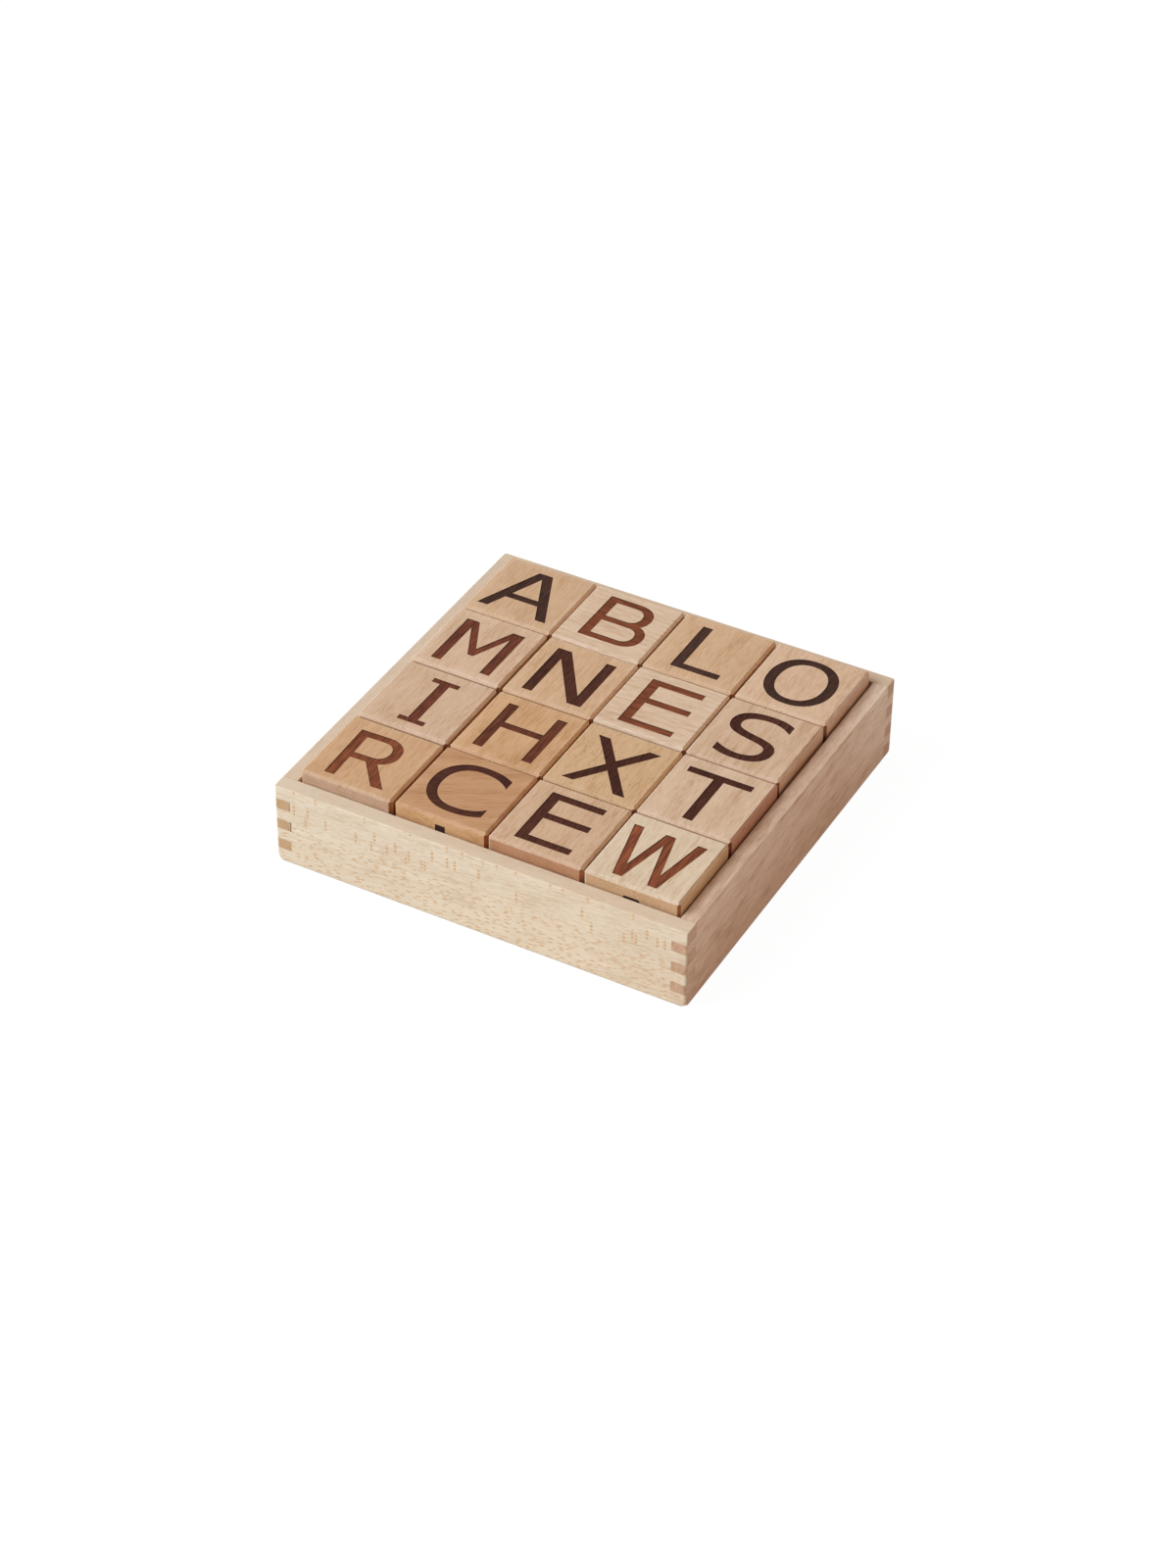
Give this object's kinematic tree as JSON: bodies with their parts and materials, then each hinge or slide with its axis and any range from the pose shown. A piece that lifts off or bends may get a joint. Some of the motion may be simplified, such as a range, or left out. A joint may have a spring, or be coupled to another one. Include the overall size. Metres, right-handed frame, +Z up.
{
  "type": "alphabet block set in a tray",
  "caption": "Square finger-jointed beech tray filled with loose wooden alphabet blocks, bevelled cubes with a capital burnt into the upper face; each block lifts out.",
  "frame": {"origin": "middle of the underside of the tray", "axes": "+Z up out of the open tray, -Y towards the front wall, so the letters read upright seen from the front, +X to the right"},
  "size_m": [0.177, 0.177, 0.0425],
  "materials": {
    "tray_beech": "matt, fine sanded, clear oiled",
    "tray_base": "matt plywood, clear oiled",
    "block_beech": "matt, fine sanded, clear oiled",
    "block_beech_honey": "matt, fine sanded, clear oiled",
    "block_beech_pale": "matt, fine sanded, clear oiled"
  },
  "bodies": {
    "tray": {"front_wall": "tray_beech", "back_wall": "tray_beech", "left_wall": "tray_beech", "right_wall": "tray_beech", "base_panel": "tray_base"},
    "block_a": {"block_a": "block_beech_honey"},
    "block_b": {"block_b": "block_beech_pale"},
    "block_l": {"block_l": "block_beech_honey"},
    "block_o": {"block_o": "block_beech"},
    "block_m": {"block_m": "block_beech"},
    "block_n": {"block_n": "block_beech_honey"},
    "block_e_inner": {"block_e_inner": "block_beech_pale"},
    "block_s": {"block_s": "block_beech"},
    "block_i": {"block_i": "block_beech"},
    "block_h": {"block_h": "block_beech_honey"},
    "block_x": {"block_x": "block_beech_honey"},
    "block_t": {"block_t": "block_beech"},
    "block_r": {"block_r": "block_beech_honey"},
    "block_c": {"block_c": "block_beech_honey"},
    "block_e_front": {"block_e_front": "block_beech"},
    "block_w": {"block_w": "block_beech_pale"}
  },
  "joints": [
    {"name": "lift_a", "type": "slide", "parent": "tray", "child": "block_a", "axis": [0, 0, 1], "range_m": [0, 0.045]},
    {"name": "lift_b", "type": "slide", "parent": "tray", "child": "block_b", "axis": [0, 0, 1], "range_m": [0, 0.045]},
    {"name": "lift_l", "type": "slide", "parent": "tray", "child": "block_l", "axis": [0, 0, 1], "range_m": [0, 0.045]},
    {"name": "lift_o", "type": "slide", "parent": "tray", "child": "block_o", "axis": [0, 0, 1], "range_m": [0, 0.045]},
    {"name": "lift_m", "type": "slide", "parent": "tray", "child": "block_m", "axis": [0, 0, 1], "range_m": [0, 0.045]},
    {"name": "lift_n", "type": "slide", "parent": "tray", "child": "block_n", "axis": [0, 0, 1], "range_m": [0, 0.045]},
    {"name": "lift_e_inner", "type": "slide", "parent": "tray", "child": "block_e_inner", "axis": [0, 0, 1], "range_m": [0, 0.045]},
    {"name": "lift_s", "type": "slide", "parent": "tray", "child": "block_s", "axis": [0, 0, 1], "range_m": [0, 0.045]},
    {"name": "lift_i", "type": "slide", "parent": "tray", "child": "block_i", "axis": [0, 0, 1], "range_m": [0, 0.045]},
    {"name": "lift_h", "type": "slide", "parent": "tray", "child": "block_h", "axis": [0, 0, 1], "range_m": [0, 0.045]},
    {"name": "lift_x", "type": "slide", "parent": "tray", "child": "block_x", "axis": [0, 0, 1], "range_m": [0, 0.045]},
    {"name": "lift_t", "type": "slide", "parent": "tray", "child": "block_t", "axis": [0, 0, 1], "range_m": [0, 0.045]},
    {"name": "lift_r", "type": "slide", "parent": "tray", "child": "block_r", "axis": [0, 0, 1], "range_m": [0, 0.045]},
    {"name": "lift_c", "type": "slide", "parent": "tray", "child": "block_c", "axis": [0, 0, 1], "range_m": [0, 0.045]},
    {"name": "lift_e_front", "type": "slide", "parent": "tray", "child": "block_e_front", "axis": [0, 0, 1], "range_m": [0, 0.045]},
    {"name": "lift_w", "type": "slide", "parent": "tray", "child": "block_w", "axis": [0, 0, 1], "range_m": [0, 0.045]}
  ]
}
